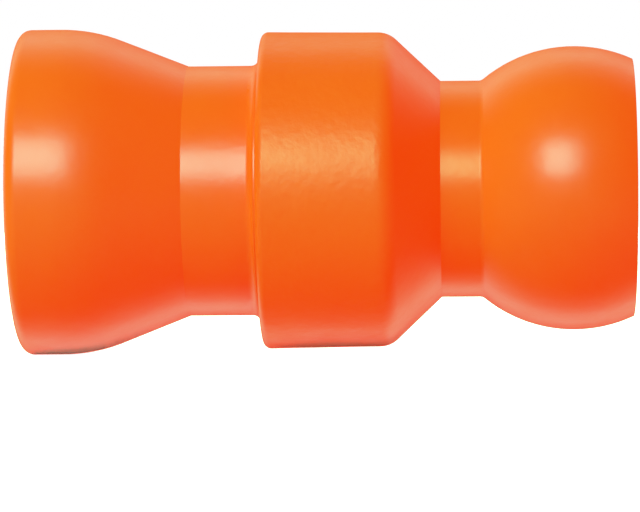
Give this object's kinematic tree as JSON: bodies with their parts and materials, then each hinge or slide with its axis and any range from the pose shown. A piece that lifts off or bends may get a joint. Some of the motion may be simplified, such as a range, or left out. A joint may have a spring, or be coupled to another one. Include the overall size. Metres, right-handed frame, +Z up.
{
  "type": "in-line check valve",
  "caption": "In-line check valve for ball-and-socket coolant hose: a socket bell snapped into a valve body that ends in a ball, with a spring-loaded poppet inside.",
  "frame": {"origin": "centre of the socket's sphere, where the upstream element's ball sits", "axes": "+X along the flow, from the socket to the ball; +Z up, with the valve lying on its side"},
  "size_m": [0.0467, 0.0248, 0.0249],
  "materials": {
    "orange_acetal": "satin",
    "natural_acetal": "smooth moulded",
    "nitrile": "matt",
    "spring_steel": "bright drawn wire"
  },
  "bodies": {
    "housing": {"inlet_socket": "orange_acetal", "outlet_ball": "orange_acetal", "joint_o_ring": "nitrile", "stem_guide": "natural_acetal", "return_spring": "spring_steel"},
    "valve": {"poppet": "natural_acetal", "seal_disc": "nitrile", "wing_guide": "natural_acetal"}
  },
  "joints": [
    {"name": "poppet_lift", "type": "slide", "parent": "housing", "child": "valve", "axis": [1, 0, 0], "range_m": [0, 0.0022], "stiffness_N_per_m": 250, "springref_m": -0.002, "deforming": ["return_spring"]}
  ]
}
